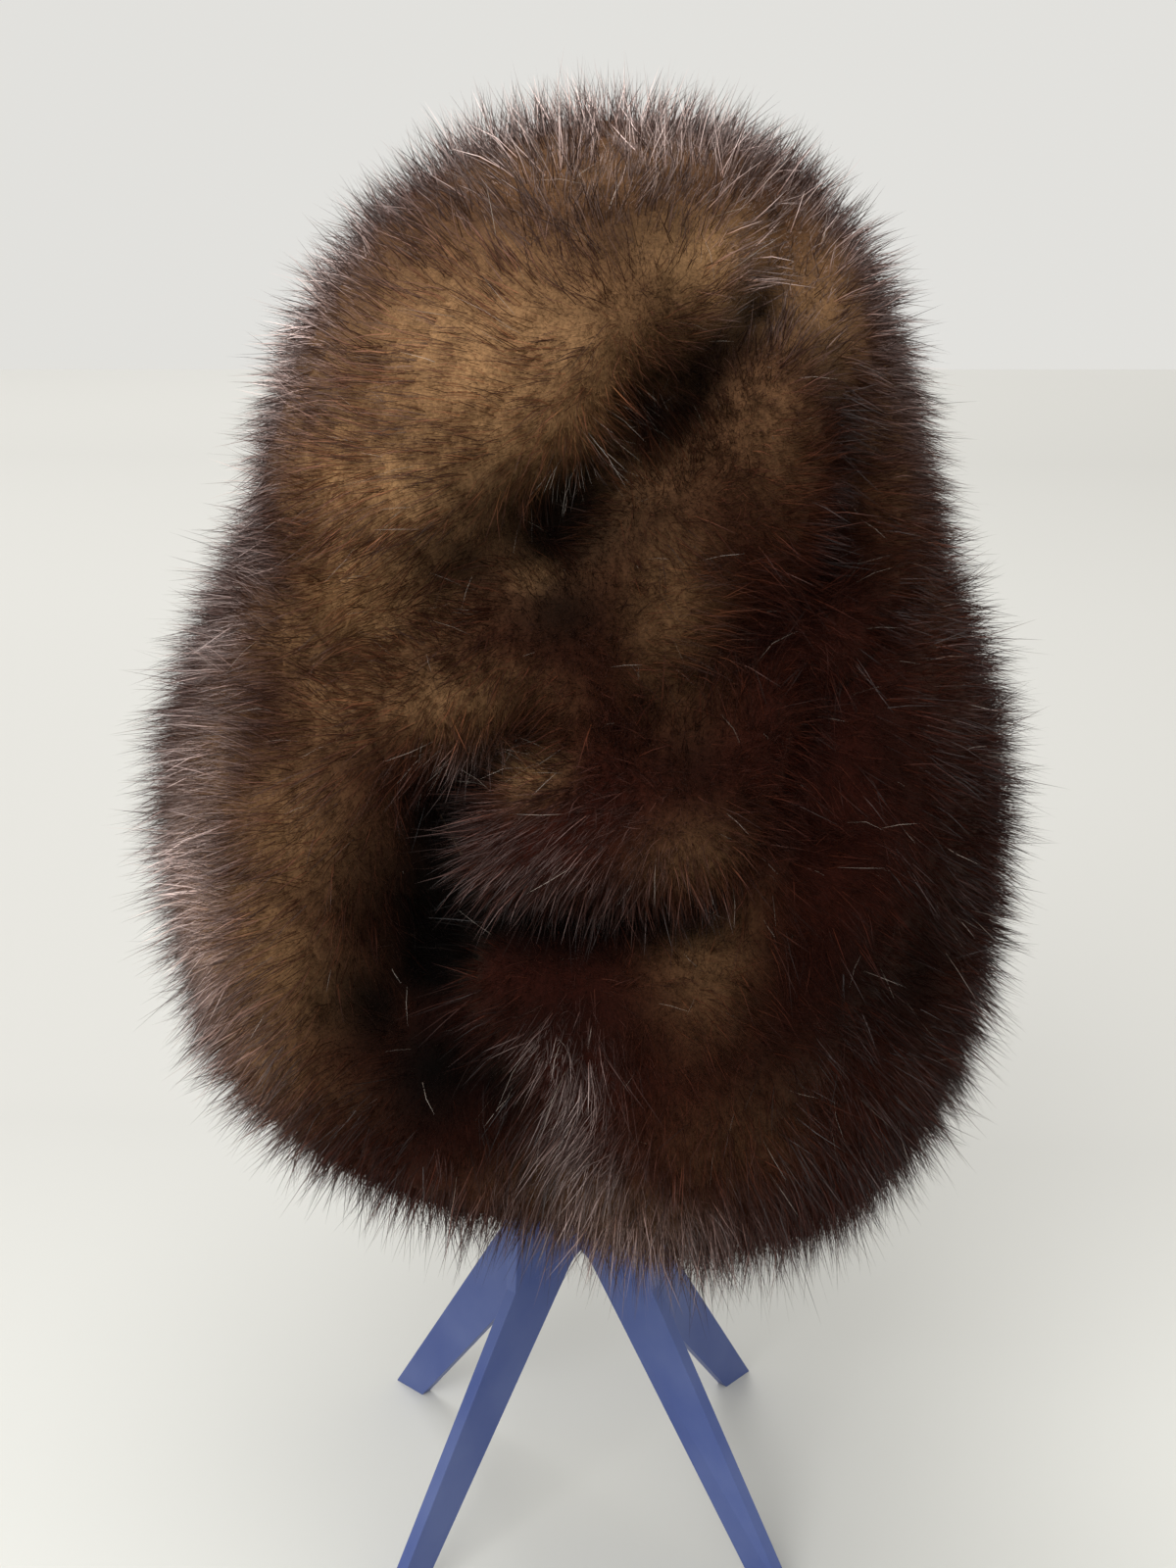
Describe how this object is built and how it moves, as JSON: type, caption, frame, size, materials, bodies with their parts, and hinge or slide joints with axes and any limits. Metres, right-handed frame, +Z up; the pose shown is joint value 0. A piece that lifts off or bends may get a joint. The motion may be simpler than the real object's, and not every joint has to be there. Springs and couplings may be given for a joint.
{
  "type": "fur hat on a stand",
  "caption": "Tall soft fur hat with a turned-up cuff and long brown fur, on a plain blue stand of slotted plates with splayed legs.",
  "frame": {"origin": "on the floor under the middle of the hat, with the feet of the stand at Z = 0", "axes": "+Z up along the hat's height, -Y towards the front of the hat, +X to the right as seen from the front"},
  "size_m": [0.2543, 0.2746, 0.4413],
  "materials": {
    "fur": "long dark brown guard hair over golden brown underfur",
    "hide": "suede, the inside of the dressed skin",
    "cuff_roll": "padded roll under the fur",
    "stand_plastic": "moulded blue plastic, satin"
  },
  "bodies": {
    "root": {"crown_inside_cuff": "hide", "crown_side": "hide", "crown_top": "hide", "crown_fur": "fur", "cuff": "cuff_roll", "cuff_fur": "fur", "stand_plate_one": "stand_plastic", "stand_plate_two": "stand_plastic"}
  },
  "joints": []
}
